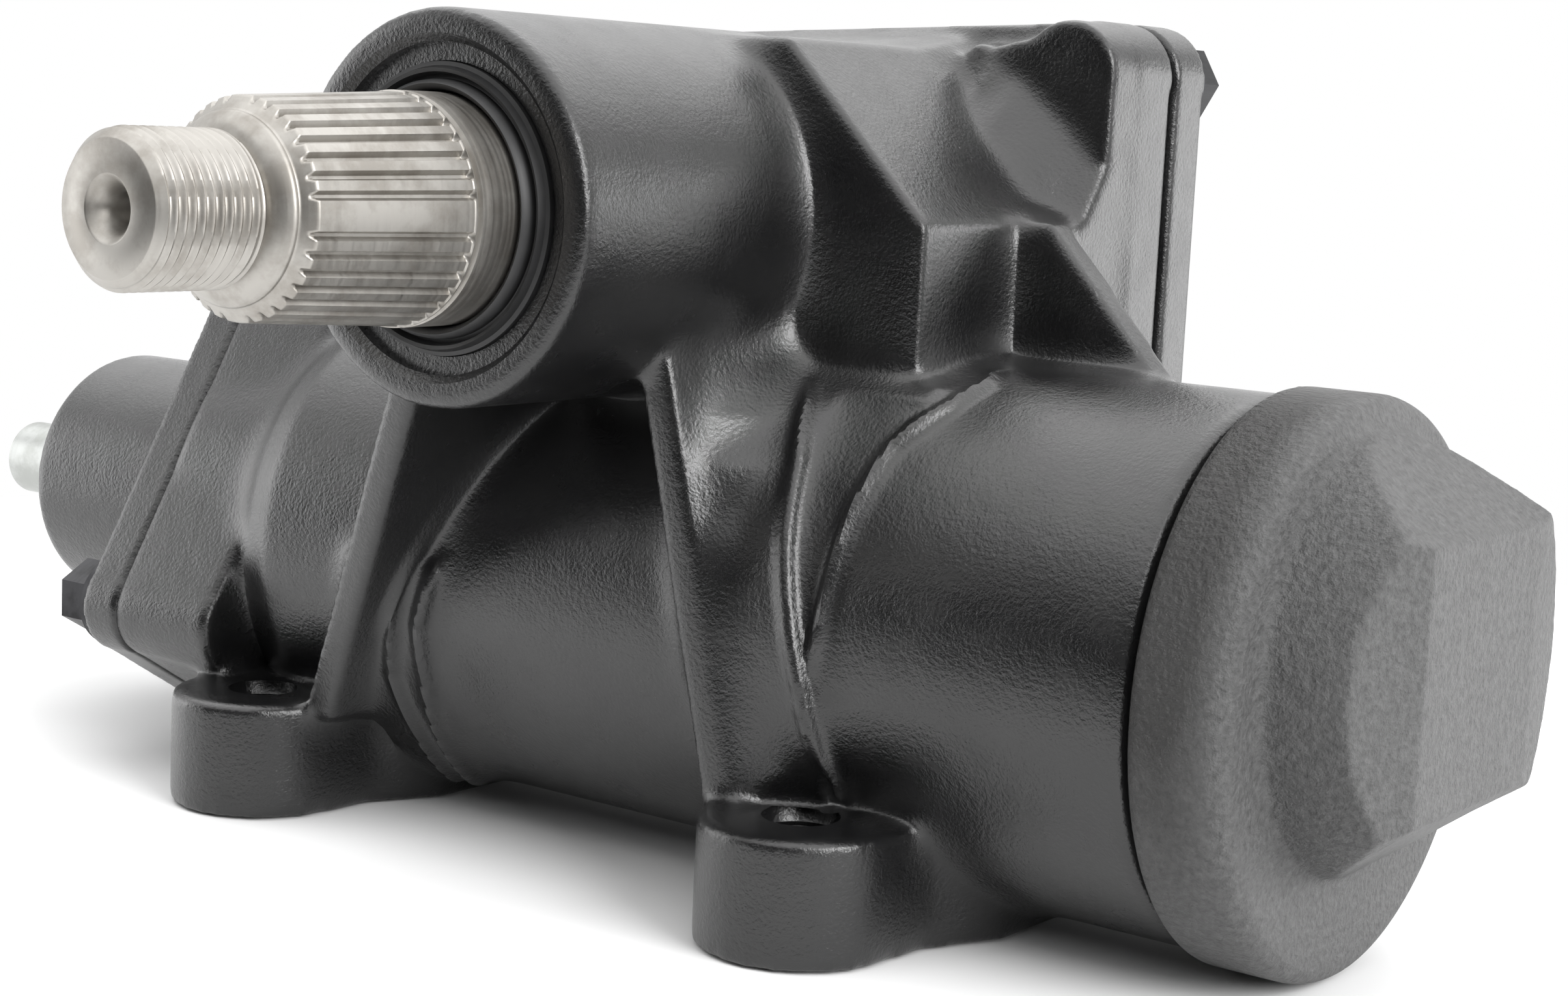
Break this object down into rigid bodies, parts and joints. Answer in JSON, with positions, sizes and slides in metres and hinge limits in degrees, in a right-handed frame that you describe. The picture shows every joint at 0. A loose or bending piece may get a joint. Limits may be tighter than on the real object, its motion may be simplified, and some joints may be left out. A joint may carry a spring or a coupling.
{
  "type": "steering gearbox",
  "caption": "Integral power steering gearbox with a cast housing, ball-nut rack piston, splined sector shaft, side cover, end plug and rotary valve input.",
  "frame": {"origin": "centre of the four frame bolts on the plane of the mounting feet", "axes": "+X along the piston axis towards the end plug, -Y towards the output end of the sector shaft, +Z away from the frame"},
  "size_m": [0.413, 0.266, 0.181],
  "materials": {
    "enamelled_iron": "black satin enamel over a fine cast surface",
    "plug_iron": "rough cast iron under a thin dark coat",
    "shaft_steel": "bare machined steel with a warm tint",
    "hardened_steel": "ground hardened steel",
    "black_bolt_steel": "black finished bolt steel",
    "rubber": "black nitrile rubber",
    "bearing_bronze": "bronze lined bush",
    "valve_ring_plastic": "filled low-friction plastic",
    "input_steel": "pale bare steel"
  },
  "bodies": {
    "gear_housing": {"housing": "enamelled_iron", "end_plug": "plug_iron", "end_plug_o_ring": "rubber", "worm_bearing_outer_race": "hardened_steel", "valve_housing": "enamelled_iron", "valve_housing_seal": "rubber", "valve_housing_bolts": "black_bolt_steel", "input_bearing": "hardened_steel", "input_seal": "rubber", "input_dust_seal": "rubber", "sector_bearing": "hardened_steel", "sector_seal": "rubber", "seal_retaining_ring": "shaft_steel", "sector_dust_seal": "rubber", "side_cover": "enamelled_iron", "cover_bush": "bearing_bronze", "cover_gasket": "rubber", "cover_bolts_set": "black_bolt_steel", "adjuster_screw": "shaft_steel", "adjuster_lock_nut": "black_bolt_steel"},
    "worm_unit": {"worm": "hardened_steel", "worm_bearing_inner_race": "hardened_steel", "worm_pin": "hardened_steel", "valve_body": "hardened_steel", "valve_rings": "valve_ring_plastic"},
    "bearing_balls": {"worm_bearing_balls": "hardened_steel"},
    "rack": {"rack_piston": "hardened_steel", "piston_ring": "valve_ring_plastic", "recirculating_balls": "hardened_steel", "ball_return_guide": "shaft_steel", "return_guide_clamp": "shaft_steel", "clamp_screws": "black_bolt_steel"},
    "sector": {"sector_shaft": "shaft_steel", "adjuster_retainer": "shaft_steel"},
    "input": {"input_shaft": "input_steel", "torsion_bar": "hardened_steel", "torsion_bar_pin": "hardened_steel"}
  },
  "joints": [
    {"name": "worm_spin", "type": "hinge", "parent": "gear_housing", "child": "worm_unit", "pos_m": [0, 0, 0.056], "axis": [1, 0, 0], "range_deg": [-721, 721]},
    {"name": "bearing_spin", "type": "hinge", "parent": "gear_housing", "child": "bearing_balls", "pos_m": [0, 0, 0.056], "axis": [1, 0, 0], "range_deg": [-305, 305]},
    {"name": "piston_slide", "type": "slide", "parent": "gear_housing", "child": "rack", "axis": [1, 0, 0], "range_m": [-0.036, 0.036]},
    {"name": "sector_swing", "type": "hinge", "parent": "gear_housing", "child": "sector", "pos_m": [0.01, 0, 0.137], "axis": [0, 1, 0], "range_deg": [-42, 42]},
    {"name": "input_twist", "type": "hinge", "parent": "worm_unit", "child": "input", "pos_m": [0, 0, 0.056], "axis": [1, 0, 0], "range_deg": [-5, 5], "stiffness_Nm_per_rad": 50}
  ],
  "couplings": [
    {"joint": "worm_spin", "follows": "piston_slide", "rad_per_m": -349.07},
    {"joint": "sector_swing", "follows": "piston_slide", "rad_per_m": -20.202},
    {"joint": "bearing_spin", "follows": "piston_slide", "rad_per_m": -145.73}
  ]
}
